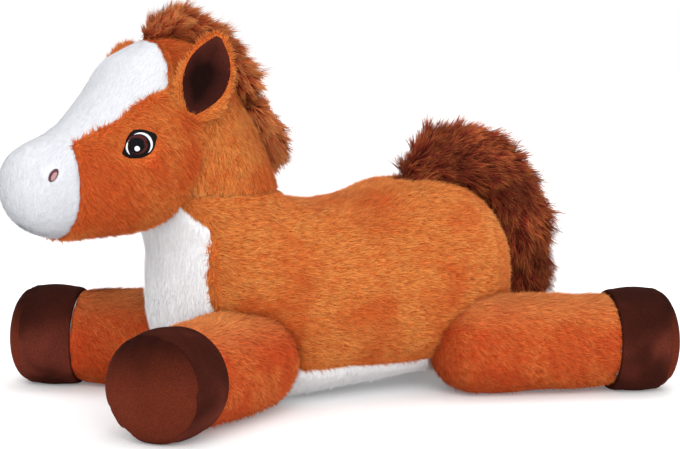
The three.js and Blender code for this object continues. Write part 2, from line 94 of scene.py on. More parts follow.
def finishMesh(bm, name, material=None, smooth=True):
    mesh = bpy.data.meshes.new(name)
    bm.to_mesh(mesh)
    bm.free()
    for polygon in mesh.polygons:
        polygon.use_smooth = smooth
    return addObject(name, mesh, material)


def copyOfNode(name):
    bm = bmesh.new()
    bm.from_mesh(nodes[name].data)
    bmesh.ops.remove_doubles(bm, verts=bm.verts, dist=1e-5)
    return bm


def applyModifiers(thing):
    depsgraph = bpy.context.evaluated_depsgraph_get()
    mesh = bpy.data.meshes.new_from_object(thing.evaluated_get(depsgraph))
    thing.modifiers.clear()
    old, thing.data = thing.data, mesh
    mesh.name = thing.name
    bpy.data.meshes.remove(old)


def remeshed(bm, voxel):
    thing = finishMesh(bm, "roughForm")
    remesh = thing.modifiers.new("remesh", "REMESH")
    remesh.mode, remesh.voxel_size = "VOXEL", voxel
    applyModifiers(thing)
    result = bmesh.new()
    result.from_mesh(thing.data)
    bpy.data.objects.remove(thing)
    return result


def smoothed(bm, rounds, factor=0.5):
    for _ in range(rounds):
        bmesh.ops.smooth_vert(bm, verts=bm.verts, factor=factor, use_axis_x=True, use_axis_y=True, use_axis_z=True)


def swollen(bm, grow):
    bm.normal_update()
    for vert in bm.verts:
        vert.co += vert.normal * grow
        vert.co.z = max(vert.co.z, softFloor)


# Stuffing is never even: shallow lumps and hollows over the whole form.
def rumpled(bm, depth, size, seed):
    bm.normal_update()
    for vert in bm.verts:
        lump = noise.noise(vert.co / size + Vector((seed, 0, 0)))
        vert.co += vert.normal * depth * lump
        vert.co.z = max(vert.co.z, softFloor)


# The value at a share of the way along a row of evenly spaced values.
def valueAlong(values, share):
    spot = share * (len(values) - 1)
    index = min(int(spot), len(values) - 2)
    return values[index] + (values[index + 1] - values[index]) * (spot - index)


def declare(thing, body, slotName, node=None):
    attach(thing, body)
    if node:
        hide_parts(node)


# Node trees, for finishes and for pile alike

def addNode(tree, kind, inputs=None, **settings):
    node = tree.nodes.new(kind)
    for key, value in settings.items():
        setattr(node, key, value)
    for key, value in (inputs or {}).items():
        socket = node.inputs[key]
        if isinstance(value, bpy.types.NodeSocket):
            tree.links.new(value, socket)
        else:
            socket.default_value = value
    return node


def colour(code):
    parts = [int(code[i:i + 2], 16) / 255 for i in (1, 3, 5)]
    return tuple(part / 12.92 if part <= 0.04045 else ((part + 0.055) / 1.055) ** 2.4 for part in parts) + (1,)


def newMaterial(name, shown, roughness, specular=0.2, sheen=0.0, tint="#FFFFFF"):
    material = bpy.data.materials.new(name)
    material.use_nodes = True
    material.diffuse_color = colour(shown)
    tree = material.node_tree
    tree.nodes.clear()
    shader = addNode(tree, "ShaderNodeBsdfPrincipled")
    addNode(tree, "ShaderNodeOutputMaterial", {"Surface": shader.outputs[0]})
    shader.inputs["Roughness"].default_value = roughness
    shader.inputs["Specular IOR Level"].default_value = specular
    shader.inputs["Sheen Weight"].default_value = sheen
    shader.inputs["Sheen Roughness"].default_value = 0.5
    shader.inputs["Sheen Tint"].default_value = colour(tint)
    return material, tree, shader


def rampOf(tree, factor, *stops):
    node = addNode(tree, "ShaderNodeValToRGB", {"Fac": factor})
    ramp = node.color_ramp
    while len(ramp.elements) < len(stops):
        ramp.elements.new(0.5)
    for element, (position, code) in zip(ramp.elements, stops):
        element.position, element.color = position, colour(code)
    return node.outputs["Color"]


def noiseOf(tree, scale, detail=2, stretch=(1, 1, 1), distortion=0, source="Object"):
    place = addNode(tree, "ShaderNodeTexCoord").outputs[source]
    mapped = addNode(tree, "ShaderNodeMapping", {"Vector": place, "Scale": stretch})
    inputs = {"Vector": mapped.outputs[0], "Scale": scale, "Detail": detail, "Distortion": distortion}
    return addNode(tree, "ShaderNodeTexNoise", inputs).outputs["Fac"]


# A share that grows from nothing to its most between two heights.
def byHeight(tree, low, high, most):
    place = addNode(tree, "ShaderNodeTexCoord").outputs["Object"]
    height = addNode(tree, "ShaderNodeSeparateXYZ", {0: place}).outputs[2]
    inputs = {"Value": height, "From Min": low, "From Max": high, "To Max": most}
    return addNode(tree, "ShaderNodeMapRange", inputs).outputs[0]


def mixed(tree, factor, one, two, blend="MIX"):
    node = addNode(tree, "ShaderNodeMix", data_type="RGBA", blend_type=blend)
    for socket, value in zip((node.inputs[0], node.inputs[6], node.inputs[7]), (factor, one, two)):
        if isinstance(value, bpy.types.NodeSocket):
            tree.links.new(value, socket)
        else:
            socket.default_value = value
    return node.outputs[2]


def bumped(tree, shader, height, strength, distance):
    node = addNode(tree, "ShaderNodeBump", {"Height": height, "Strength": strength, "Distance": distance})
    tree.links.new(node.outputs[0], shader.inputs["Normal"])


# Plush: knitted backing, and pile that lightens towards its tips. Where it is brushed the wrong way it shows
# its deeper, redder side. A painted highlight makes it paler between two heights; painted shade deepens it between
# tufts.
plushLooks = {
    "torso": {
        "root": "#B5481C", "mid": "#E8843A", "tip": "#F7AE66", "midAt": 0.5,
        "brushed": "#D0501D", "share": 0.44, "dim": "#C4C4C4", "sheen": 0.1,
    },
    # The head's and legs' pile are darker, redder copies of the torso's: partly brushing, partly painted shade.
    "head": {
        "root": "#A8401A", "mid": "#E27431", "tip": "#F6A559", "midAt": 0.5,
        "brushed": "#CB431A", "share": 0.5, "dim": "#C4C4C4", "sheen": 0.1,
    },
    "leg": {
        "root": "#A83B18", "mid": "#E0632A", "tip": "#F69C54", "midAt": 0.5,
        "brushed": "#CA3C1A", "share": 0.5, "dim": "#C4C4C4", "sheen": 0.1,
        # Painted light: the top of each leg's pile is painted paler.
        "paintedTopLight": {"low": 0.05, "high": 0.074, "tone": "#F6A860", "most": 0.6},
    },
    "blaze": {
        "root": "#D6D8DE", "mid": "#E4E5E9", "tip": "#ECEDF0", "midAt": 0.5,
        "brushed": "#D9DBE1", "share": 0.4, "dim": "#EAEAEA", "sheen": 0.0,
    },
    # The belly's white pile is painted lighter than the face's: painted light against the shade under the body.
    "belly": {
        "root": "#F0F1F3", "mid": "#FAFAFB", "tip": "#FFFFFF", "midAt": 0.5,
        "brushed": "#ECECEF", "share": 0.4, "dim": "#F0F0F0", "sheen": 0.0,
    },
    # The tail's long pile is a darker copy of the mane's: painted shade in the depth of the tail.
    "tail": {
        "root": "#220908", "mid": "#A23628", "tip": "#FF9850", "midAt": 0.6,
        "brushed": "#3C100C", "share": 0.48, "dim": "#989898", "sheen": 0.3,
    },
    "mane": {
        "root": "#48180F", "mid": "#D65E34", "tip": "#FFB468", "midAt": 0.5,
        "brushed": "#7E2A18", "share": 0.42, "dim": "#ACACAC", "sheen": 0.3,
    },
}


def pileMaterial(name, look):
    material, tree, shader = newMaterial(name, look["mid"], 0.85, 0.08, look["sheen"], look["tip"])
    along = addNode(tree, "ShaderNodeAttribute", attribute_name="rootTip").outputs["Fac"]
    shade = addNode(tree, "ShaderNodeAttribute", attribute_name="shade").outputs["Fac"]
    tuft = addNode(tree, "ShaderNodeAttribute", attribute_name="tuft").outputs["Fac"]
    strand = rampOf(tree, along, (0.0, look["root"]), (look["midAt"], look["mid"]), (1.0, look["tip"]))
    patches = noiseOf(tree, 24, 4, distortion=0.5)
    edge = 1 - look["share"]
    brushed = rampOf(tree, patches, (edge - 0.1, "#000000"), (edge + 0.1, "#FFFFFF"))
    base = mixed(tree, brushed, strand, mixed(tree, 0.6, strand, colour(look["brushed"])))
    # Painted highlight: the pile is painted paler on top, between two heights.
    if "paintedTopLight" in look:
        paintedTopLight = look["paintedTopLight"]
        paintedTopShare = byHeight(tree, paintedTopLight["low"], paintedTopLight["high"], paintedTopLight["most"])
        base = mixed(tree, paintedTopShare, base, colour(paintedTopLight["tone"]))
    # Painted shade between tufts: the colour is drawn towards the deeper, redder tone where the tufts fall away.
    hollow = rampOf(tree, tuft, (0.0, "#A0A0A0"), (1.0, "#000000"))
    paintedShade = mixed(tree, hollow, base, colour(look["brushed"]))
    lighter = rampOf(tree, shade, (0.0, look["dim"]), (1.0, "#FFFFFF"))
    tree.links.new(mixed(tree, 1.0, paintedShade, lighter, "MULTIPLY"), shader.inputs["Base Color"])
    return material


def backingMaterial(name, look):
    material, tree, shader = newMaterial(name, look["mid"], 0.9)
    knit = noiseOf(tree, 900, 3, (0.25, 1, 1))
    tree.links.new(rampOf(tree, knit, (0.3, look["root"]), (0.7, look["mid"])), shader.inputs["Base Color"])
    bumped(tree, shader, knit, 0.6, 0.001)
    return material


# Velour: nap that is light or dark as a hand has stroked it, within its sway. Painted shade
# darkens it between the two heights of its top, and along the ear lining's fold.
velourLooks = {
    "hoof": {
        "dark": "#260F0B", "mid": "#421D15", "light": "#703428",
        "top": (0.034, 0.094), "sheen": 0.03, "sway": (0.1, 0.9),
    },
    "sole": {
        "dark": "#2C110C", "mid": "#642A1B", "light": "#743322",
        "top": (0.03, 0.07), "sheen": 0.03, "sway": (0.34, 0.66),
    },
    "ear": {
        "dark": "#1E0E0C", "mid": "#4A211B", "light": "#603026",
        "top": (0.2, 0.9), "sheen": 0.02, "sway": (0, 1),
    },
}


def velourMaterial(name, look):
    material, tree, shader = newMaterial(name, look["mid"], 1.0, 0.03, look["sheen"], "#B0503A")
    # Painted shade: darker between the two heights of its top.
    rise = byHeight(tree, *look["top"], 0.34)
    calm, strong = look["sway"]
    inputs = {"Value": noiseOf(tree, 20, 2, distortion=0.4), "To Min": calm, "To Max": strong}
    stroke = addNode(tree, "ShaderNodeMapRange", inputs).outputs[0]
    # Painted shade in the ear lining's fold, stored on the leaf.
    paintedFoldShade = addNode(tree, "ShaderNodeAttribute", attribute_name="paintedFoldShade").outputs["Fac"]
    paintedShade = addNode(tree, "ShaderNodeMath", {0: rise, 1: paintedFoldShade}, operation="ADD").outputs[0]
    nap = addNode(tree, "ShaderNodeMath", {0: stroke, 1: paintedShade}, operation="SUBTRACT").outputs[0]
    tone = rampOf(tree, nap, (0.18, look["dark"]), (0.42, look["mid"]), (0.66, look["light"]))
    fine = noiseOf(tree, 1300, 2)
    speck = rampOf(tree, fine, (0.3, "#C4C4C4"), (0.7, "#FFFFFF"))
    tree.links.new(mixed(tree, 1.0, tone, speck, "MULTIPLY"), shader.inputs["Base Color"])
    bumped(tree, shader, fine, 0.5, 0.0006)
    return material


def fibreMaterial(name):
    material, tree, shader = newMaterial(name, "#E8E8E8", 0.95)
    wisps = noiseOf(tree, 400, 4, (1, 1, 0.2))
    tree.links.new(rampOf(tree, wisps, (0.3, "#D6D6D6"), (0.7, "#F2F2F2")), shader.inputs["Base Color"])
    bumped(tree, shader, wisps, 0.7, 0.002)
    return material


# Embroidery: satin stitches that run across each shape.
def threadMaterial(name, dark, light):
    material, tree, shader = newMaterial(name, light, 0.7, 0.1)
    stitches = noiseOf(tree, 1.0, 2, (2400, 160, 1), source="UV")
    tree.links.new(rampOf(tree, stitches, (0.35, dark), (0.65, light)), shader.inputs["Base Color"])
    bumped(tree, shader, stitches, 0.6, 0.0004)
    return material


finishes = {name + "Pile": pileMaterial(name + "Pile", look) for name, look in plushLooks.items()}
finishes.update({name + "Backing": backingMaterial(name + "Backing", look) for name, look in plushLooks.items()})
finishes.update({name + "Velour": velourMaterial(name + "Velour", look) for name, look in velourLooks.items()})
finishes["fibre"] = fibreMaterial("fibreFill")
threadColours = {
    "lash": ("#060405", "#120C0D"),
    "white": ("#D8D8DF", "#F0F0F4"),
    "iris": ("#301210", "#542422"),
    "pupil": ("#030304", "#0B0A0D"),
    "nostril": ("#9A7474", "#C29C9A"),
    "nostrilRim": ("#4A2A30", "#6E464C"),
}
finishes.update({name + "Thread": threadMaterial(name + "Thread", *tones) for name, tones in threadColours.items()})
print("finishes ready")


# Pile: blades set into a piece's backing and combed one way, with a little disorder.
def pileTree(name, pile):
    tree = bpy.data.node_groups.new(name, "GeometryNodeTree")
    tree.interface.new_socket("Backing", in_out="INPUT", socket_type="NodeSocketGeometry")
    tree.interface.new_socket("Pile", in_out="OUTPUT", socket_type="NodeSocketGeometry")
    backing = addNode(tree, "NodeGroupInput").outputs[0]

    def maths(operation, one, two=0.0):
        return addNode(tree, "ShaderNodeMath", {0: one, 1: two}, operation=operation).outputs[0]

    def vector(operation, one, two=None, output=0):
        inputs = {0: one}
        if two is not None:
            inputs["Scale" if operation == "SCALE" else 1] = two
        return addNode(tree, "ShaderNodeVectorMath", inputs, operation=operation).outputs[output]

    def among(low, high, seed):
        node = addNode(tree, "FunctionNodeRandomValue", {2: low, 3: high, "Seed": seed}, data_type="FLOAT")
        return node.outputs[1]

    def spanned(value, low, high, fromLow=0.0, fromHigh=1.0):
        inputs = {"Value": value, "From Min": fromLow, "From Max": fromHigh, "To Min": low, "To Max": high}
        return addNode(tree, "ShaderNodeMapRange", inputs).outputs[0]

    def kept(geometry, label, value, kind="FLOAT", domain="POINT"):
        node = addNode(tree, "GeometryNodeStoreNamedAttribute", data_type=kind, domain=domain)
        node.inputs["Name"].default_value = label
        tree.links.new(geometry, node.inputs["Geometry"])
        tree.links.new(value, node.inputs["Value"])
        return node.outputs[0]

    def named(label, kind="FLOAT"):
        node = addNode(tree, "GeometryNodeInputNamedAttribute", data_type=kind)
        node.inputs["Name"].default_value = label
        return node.outputs[0]

    # One blade: a narrow strip that tapers to its tip and curls back towards the backing.
    grid = addNode(tree, "GeometryNodeMeshGrid", {0: 1.0, 1: 1.0, 2: 2, 3: pile["steps"] + 1}).outputs[0]
    here = addNode(tree, "ShaderNodeSeparateXYZ", {0: addNode(tree, "GeometryNodeInputPosition").outputs[0]})
    along = maths("ADD", here.outputs[1], 0.5)
    taper = maths("SUBTRACT", 1.0, maths("POWER", along, pile["taper"]))
    bend = maths("MULTIPLY", maths("POWER", along, 2.0), -pile["curl"])
    across = maths("MULTIPLY", maths("MULTIPLY", here.outputs[0], -1.0), taper)
    shape = addNode(tree, "ShaderNodeCombineXYZ", {0: across, 1: bend, 2: along}).outputs[0]
    grid = kept(grid, "rootTip", along)
    grid = kept(grid, "across", maths("ADD", here.outputs[0], 0.5))
    blade = addNode(tree, "GeometryNodeSetPosition", {"Geometry": grid, "Position": shape}).outputs[0]
    blade = addNode(tree, "GeometryNodeMergeByDistance", {"Geometry": blade, "Distance": 1e-4}).outputs[0]

    # Where the blades stand, and which way each one lies.
    density = maths("MULTIPLY", named("cover"), pile["density"])
    inputs = {"Mesh": backing, "Density": density, "Seed": pile["seed"]}
    spread = addNode(tree, "GeometryNodeDistributePointsOnFaces", inputs)
    normal = spread.outputs["Normal"]
    position = addNode(tree, "GeometryNodeInputPosition").outputs[0]
    swirl = addNode(tree, "ShaderNodeTexNoise", {"Vector": position, "Scale": pile["swirl"], "Detail": 2.0})
    disorder = vector("SCALE", vector("SUBTRACT", swirl.outputs["Color"], (0.5, 0.5, 0.5)), pile["disorder"])
    inputs = {0: (-1, -1, -1), 1: (1, 1, 1), "Seed": pile["seed"] + 3}
    jitter = addNode(tree, "FunctionNodeRandomValue", inputs, data_type="FLOAT_VECTOR")
    stray = vector("SCALE", jitter.outputs[0], pile["stray"])
    combed = vector("NORMALIZE", named("comb", "FLOAT_VECTOR"))
    comb = vector("ADD", vector("ADD", combed, disorder), stray)
    lean = vector("DOT_PRODUCT", comb, normal, 1)
    flat = vector("NORMALIZE", vector("SUBTRACT", comb, vector("SCALE", normal, lean)))
    few = maths("POWER", among(0.0, 1.0, pile["seed"] + 1), pile["rare"])
    low, high = (math.radians(angle) for angle in pile["lift"])
    lift = spanned(few, low, high)
    facing = vector("ADD", vector("SCALE", flat, maths("COSINE", lift)), vector("SCALE", normal, maths("SINE", lift)))

    # Tufts, drawn out along the comb: the pile is longer on them, and painted shade deepens its colour between them.
    onComb = vector("DOT_PRODUCT", position, combed, 1)
    drawn = vector("SUBTRACT", position, vector("SCALE", combed, maths("MULTIPLY", onComb, 1 - pile["drawn"])))
    inputs = {"Vector": drawn, "Scale": pile["tufts"], "Detail": 3.0}
    clumps = addNode(tree, "ShaderNodeTexNoise", inputs).outputs["Fac"]
    tuft = spanned(clumps, 0.0, 1.0, 0.4, 0.57)
    rise = spanned(tuft, pile["hollow"], 1.0)
    length = maths("MULTIPLY", maths("MULTIPLY", among(*pile["length"], pile["seed"] + 2), named("reach")), rise)

    # Long pile gathers into locks, whose blades lean together at their tips.
    if pile["gather"]:
        lock = addNode(tree, "ShaderNodeTexVoronoi", {"Vector": position, "Scale": pile["locks"]})
        inward = vector("SUBTRACT", lock.outputs["Position"], position)
        offSkin = vector("DOT_PRODUCT", inward, normal, 1)
        inward = vector("SUBTRACT", inward, vector("SCALE", normal, offSkin))
        facing = vector("ADD", facing, vector("SCALE", inward, pile["gather"] / pile["length"][1]))
        chance = addNode(tree, "ShaderNodeSeparateXYZ", {0: lock.outputs["Color"]}).outputs[0]
        length = maths("MULTIPLY", length, spanned(chance, 0.6, 1.25))
        # Painted shade between locks: the tuft value, which deepens the pile's colour, falls off towards each lock's
        # edge.
        tuft = maths("MULTIPLY", tuft, spanned(lock.outputs["Distance"], 1.0, 0.0, 0.3, 0.7))
    turned = addNode(tree, "FunctionNodeAxesToRotation", {0: facing, 1: normal}, primary_axis="Z", secondary_axis="Y")
    size = addNode(tree, "ShaderNodeCombineXYZ", {0: pile["width"], 1: length, 2: length}).outputs[0]
    points = kept(spread.outputs["Points"], "skinNormal", normal, "FLOAT_VECTOR")
    points = kept(points, "tuft", tuft)
    inputs = {"Points": points, "Instance": blade, "Rotation": turned.outputs[0], "Scale": size}
    placed = addNode(tree, "GeometryNodeInstanceOnPoints", inputs)
    index = addNode(tree, "GeometryNodeInputIndex").outputs[0]
    strands = kept(placed.outputs[0], "shade", among(0.0, 1.0, pile["seed"] + 4), domain="INSTANCE")
    strands = kept(strands, "strand", index, "INT", "INSTANCE")
    count = addNode(tree, "GeometryNodeAttributeDomainSize", {0: strands}, component="INSTANCES").outputs[5]
    rows = maths("CEIL", maths("SQRT", count))
    solid = addNode(tree, "GeometryNodeRealizeInstances", {0: strands}).outputs[0]

    # Each blade has its own small field in the UV map.
    strand = named("strand", "INT")
    column = maths("ADD", maths("MODULO", strand, rows), maths("MULTIPLY", named("across"), 0.7))
    row = maths("ADD", maths("FLOOR", maths("DIVIDE", strand, rows)), maths("MULTIPLY", named("rootTip"), 0.8))
    inputs = {0: maths("DIVIDE", column, rows), 1: maths("DIVIDE", row, rows)}
    field = addNode(tree, "ShaderNodeCombineXYZ", inputs).outputs[0]
    solid = kept(solid, "OFBake", field, "FLOAT2", "CORNER")
    addNode(tree, "NodeGroupOutput", {0: solid})
    return tree


def everywhere(place, normal):
    return 1


def addPile(backing, name, pile, material, combAt, coverAt=everywhere, reachAt=everywhere):
    mesh = backing.data.copy()
    for label, kind in (("comb", "FLOAT_VECTOR"), ("cover", "FLOAT"), ("reach", "FLOAT")):
        mesh.attributes.new(label, kind, "POINT")
    comb, cover, reach = (mesh.attributes[label] for label in ("comb", "cover", "reach"))
    for vert in mesh.vertices:
        comb.data[vert.index].vector = combAt(vert.co)
        cover.data[vert.index].value = coverAt(vert.co, vert.normal)
        reach.data[vert.index].value = reachAt(vert.co, vert.normal)
    thing = addObject(name, mesh)
    thing.modifiers.new("pile", "NODES").node_group = pileTree(name + "Tree", pile)
    applyModifiers(thing)
    mesh, share = thing.data, pile["softness"]
    skin = mesh.attributes["skinNormal"].data
    soft = [Vector(skin[vert.index].vector) * share + vert.normal * (1 - share) for vert in mesh.vertices]
    soft = [normal.normalized() for normal in soft]
    for vert in mesh.vertices:
        vert.co.z = max(vert.co.z, pileFloor)
    for polygon in mesh.polygons:
        polygon.use_smooth = True
    mesh.normals_split_custom_set_from_vertices(soft)
    mesh.materials.clear()
    mesh.materials.append(material)
    for label in ("skinNormal", "comb", "cover", "reach", "across", "strand"):
        if label in mesh.attributes:
            mesh.attributes.remove(mesh.attributes[label])
    print(name, len(mesh.polygons), "faces")
    return thing


# Lengths and widths in metres, lift in degrees from the backing, density in blades per square metre.
shortPile = {
    "steps": 1, "taper": 1.0, "curl": 0.0, "density": 2100000, "seed": 11, "swirl": 42, "disorder": 1.5,
    "stray": 0.2, "lift": (5, 34), "rare": 1.8, "length": (0.005, 0.0082), "width": 0.00066, "softness": 0.88,
    "drawn": 0.34, "tufts": 420, "hollow": 0.5, "gather": 0,
}
longPile = {
    "steps": 3, "taper": 1.6, "curl": 0.3, "density": 2600000, "seed": 29, "swirl": 75, "disorder": 2.4,
    "stray": 0.32, "lift": (22, 70), "rare": 1.0, "length": (0.011, 0.022), "width": 0.0006, "softness": 0.6,
    "drawn": 0.3, "tufts": 120, "hollow": 0.5, "gather": 1.5, "locks": 165,
}


# A sewn line has no steps in it.
def straighten(edges, rounds=12):
    beside = {}
    for edge in edges:
        one, two = edge.verts
        beside.setdefault(one, []).append(two)
        beside.setdefault(two, []).append(one)
    for _ in range(rounds):
        moved = {}
        for vert, others in beside.items():
            if len(others) > 1:
                moved[vert] = sum((other.co for other in others), Vector()) / len(others)
        for vert, place in moved.items():
            vert.co = vert.co.lerp(place, 0.5)


# Covers: the form of a stuffed body, divided along the seams of its CAD covers. A crease is
# a seam between two brown panels, and is drawn in deeper than a border with a white one.
def dividedCovers(form, look):
    covers = look["covers"]
    trees = {name: BVHTree.FromBMesh(copyOfNode(name)) for name in covers}
    form.faces.ensure_lookup_table()
    labels = []
    for face in form.faces:
        centre = face.calc_center_median()
        labels.append(min(covers, key=lambda name: trees[name].find_nearest(centre)[3]))
    seamEdges = [edge for edge in form.edges if len({labels[face.index] for face in edge.link_faces}) > 1]
    straighten(seamEdges)
    seam, border = [], []
    for vert in form.verts:
        kinds = {labels[face.index] for face in vert.link_faces}
        if len(kinds) > 1:
            creased = kinds <= look["creases"]
            vert.co -= vert.normal * look["tuck"] * (1.5 if creased else 0.5)
            (seam if creased else border).append(vert.co.copy())
    parts = {}
    for name in covers:
        part = form.copy()
        part.faces.ensure_lookup_table()
        bmesh.ops.delete(part, geom=[face for face in part.faces if labels[face.index] != name], context="FACES")
        parts[name] = part
    return parts, treeOf(seam), treeOf(border)


def treeOf(places):
    tree = KDTree(len(places))
    for index, place in enumerate(places):
        tree.insert(place, index)
    tree.balance()
    return tree


# Brown pile is brushed over the seam that it shares with a white panel.
def brushedOver(border, direction, reach=0.007, pull=1.8):
    def combAt(place):
        near, _, gap = border.find(place)
        if gap > reach or gap < 1e-6:
            return direction
        return direction.normalized() + (near - place).normalized() * pull * (1 - gap / reach)

    return combAt


def thicken(cover, thickness=0.002):
    wall = cover.modifiers.new("wall", "SOLIDIFY")
    wall.thickness, wall.offset, wall.use_even_offset = thickness, -1, False


def dressCover(part, node, body, plush, slotName, comb, settings, coverAt, reachAt, border=None):
    cover = finishMesh(part, node + "_cover", finishes[plush + "Backing"])
    direction = Vector(comb)
    combAt = brushedOver(border, direction) if border else lambda place: direction
    hair = addPile(cover, node + "_pile", settings, finishes[plush + "Pile"], combAt, coverAt, reachAt)
    thicken(cover)
    declare(cover, body, slotName, node=node)
    declare(hair, body, slotName)


def dressBody(parts, body, look, coverAt, reachAt, border):
    for name, part in parts.items():
        plush, slotName, comb = look["covers"][name]
        white = slotName == "white_plush"
        settings = dict(shortPile, **look["whitePile"]) if white else shortPile
        dressCover(part, name, body, plush, slotName, comb, settings, coverAt, reachAt, None if white else border)


def addFilling(bm, node, body):
    filling = finishMesh(bm, node + "_fill", finishes["fibre"])
    declare(filling, body, "fibre_fill", node=node)


# A stuffed body: its filling, and the fuller form that its covers share.
def stuffedForm(node, body, look):
    form = remeshed(copyOfNode(node), look["voxel"])
    smoothed(form, look["smoothing"])
    core = form.copy()
    swollen(core, look["fillingSwell"])
    addFilling(core, node, body)
    swollen(form, look["swell"])
    rumpled(form, *look["lumps"], look["seed"])
    return form


# Trunk

trunk = {
    "voxel": 0.0032,
    "smoothing": 10,
    "fillingSwell": 0.0002,
    "swell": 0.0034,
    "lumps": (0.0016, 0.045),
    "seed": 3,
    "tuck": 0.0016,
    "creases": {"torso_plush", "neck_plush"},
    "whitePile": {"disorder": 1.0, "stray": 0.16, "lift": (4, 26), "softness": 0.95, "hollow": 0.7},
    "covers": {
        "torso_plush": ("torso", "chestnut_plush", (1, 0, -0.12)),
        "neck_plush": ("torso", "chestnut_plush", (0.2, 0, -1)),
        "belly_panel": ("belly", "white_plush", (0.1, 0, -1)),
    },
}
form = stuffedForm("body_stuffing", "trunk", trunk)
parts, neckSeam, bellyBorder = dividedCovers(form, trunk)
form.free()


def aboveFloor(place, normal):
    return 0 if normal.z < -0.85 or place.z < 0.005 else 1


def besideNeckSeam(place, normal):
    return min(1, 0.35 + neckSeam.find(place)[2] / 0.008)


dressBody(parts, "trunk", trunk, aboveFloor, besideNeckSeam, bellyBorder)
print("trunk dressed")

# Head, in a frame of its own that is turned about the neck's leaning axis

head = {
    "shiftX": 0.018989,
    "neckFoot": (-0.085, 0, 0.07),
    "lean": 17.6,
    "turn": 15,
    "standX": -0.118,
    "voxel": 0.0026,
    "smoothing": 8,
    "fillingSwell": 0.0002,
    "swell": 0.0032,
    "lumps": (0.0009, 0.03),
    "seed": 8,
    "tuck": 0.0012,
    "creases": {"cheek_left", "cheek_right"},
    "stitched": {"eye": 0.0106, "nostril": 0.0032},
    "whitePile": {
        "length": (0.003, 0.0048), "disorder": 0.8, "stray": 0.14,
        "lift": (3, 20), "softness": 0.95, "hollow": 0.8,
    },
    "covers": {
        "cheek_left": ("head", "chestnut_plush", (0.8, 0.1, -0.9)),
        "cheek_right": ("head", "chestnut_plush", (0.8, 0.1, -0.9)),
        "face_blaze": ("blaze", "white_plush", (0.5, 0, 1)),
    },
}
foot = Vector(head["neckFoot"])
neckUp = Vector((-math.sin(math.radians(head["lean"])), 0, math.cos(math.radians(head["lean"]))))
headPlace = (
    Matrix.Translation((head["shiftX"], 0, 0))
    @ Matrix.Translation(foot)
    @ Matrix.Rotation(math.radians(head["turn"]), 4, neckUp)
    @ Matrix.Translation((head["standX"] - foot.x, 0, -foot.z))
)
mirrorHead = headPlace @ Matrix.Diagonal((1, -1, 1, 1)) @ headPlace.inverted()


def middleOf(node):
    low, high = (Vector(corner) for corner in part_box(node))
    return (low + high) / 2


embroidered = [(middleOf(f"{part}_{name}"), radius) for part, radius in head["stitched"].items() for name in sides]


def besideStitching(place, normal):
    return 0 if any((place - middle).length < radius for middle, radius in embroidered) else 1


def lowBesideStitching(place, normal):
    return min([1] + [max(0.3, ((place - middle).length - radius) / 0.006) for middle, radius in embroidered])


form = stuffedForm("head_stuffing", "head", head)
headTree = BVHTree.FromBMesh(form)
parts, _, blazeBorder = dividedCovers(form, head)
form.free()
dressBody(parts, "head", head, besideStitching, lowBesideStitching, blazeBorder)
print("head dressed")

# Embroidery. Outlines in millimetres, right and up as the eye is seen from the camera.
# Levels are metres above the head's form.

eyeStitches = {
    "lash": {
        "level": 0.0012,
        "line": [
            (-7.2, 6.2), (-5.2, 8.8), (-2, 10.2), (2.2, 10), (6.8, 8.8), (11.2, 6.8),
            (10.2, 3.2), (9.6, -0.6), (8, -4.2), (4.8, -7.2), (0.6, -9), (-3.8, -9.2),
            (-8, -8.5), (-11, -6.8), (-10, -3.4), (-9, 0), (-8.6, 3.2),
        ],
    },
    "ovals": {
        "iris": {"centre": (-1.6, 0.0), "half": (6.6, 6.6), "tilt": 0, "level": 0.0017, "thread": "iris"},
        "pupil": {"centre": (-2.2, -0.6), "half": (5.2, 5.2), "tilt": 0, "level": 0.0021, "thread": "pupil"},
        "glint": {"centre": (-2.0, -3.0), "half": (1.75, 1.75), "tilt": 0, "level": 0.0027, "thread": "white"},
    },
    "arcs": [
        {"centre": (0.0, 0.0), "radius": 7.3, "from": -44, "to": 122, "width": 1.7},
        {"centre": (-1.4, -2.0), "radius": 6.9, "from": 142, "to": 226, "width": 1.15},
    ],
    "arcLevel": 0.0019,
}
nostrilStitches = {
    "rim": {"centre": (0.8, 0.2), "half": (2.5, 4.6), "tilt": -28, "level": 0.0010, "thread": "nostrilRim"},
    "inside": {"centre": (1.1, -0.6), "half": (1.5, 3.0), "tilt": -28, "level": 0.0015, "thread": "nostril"},
}
stitching = {"height": 0.0011, "step": 0.0009, "puff": 0.6, "puffReach": 0.0012}


def ovalLine(look, steps=40):
    turn = Matrix.Rotation(math.radians(look["tilt"]), 2)
    (x, y), (wide, high) = look["centre"], look["half"]
    line = []
    for i in range(steps):
        angle = 2 * math.pi * i / steps
        point = turn @ Vector((wide * math.cos(angle), high * math.sin(angle)))
        line.append((point.x + x, point.y + y))
    return line


def arcLine(arc, steps=24):
    outer, inner = [], []
    for i in range(steps + 1):
        share = i / steps
        angle = math.radians(arc["from"] + (arc["to"] - arc["from"]) * share)
        half = arc["width"] / 2 * max(0.12, math.sin(math.pi * share) ** 0.7)
        for line, radius in ((outer, arc["radius"] + half), (inner, arc["radius"] - half)):
            line.append((arc["centre"][0] + radius * math.cos(angle), arc["centre"][1] + radius * math.sin(angle)))
    return outer + inner[::-1]


def softened(line, rounds=2):
    for _ in range(rounds):
        line = [
            (a[0] + (b[0] - a[0]) * share, a[1] + (b[1] - a[1]) * share)
            for a, b in zip(line, line[1:] + line[:1])
            for share in (0.25, 0.75)
        ]
    return line


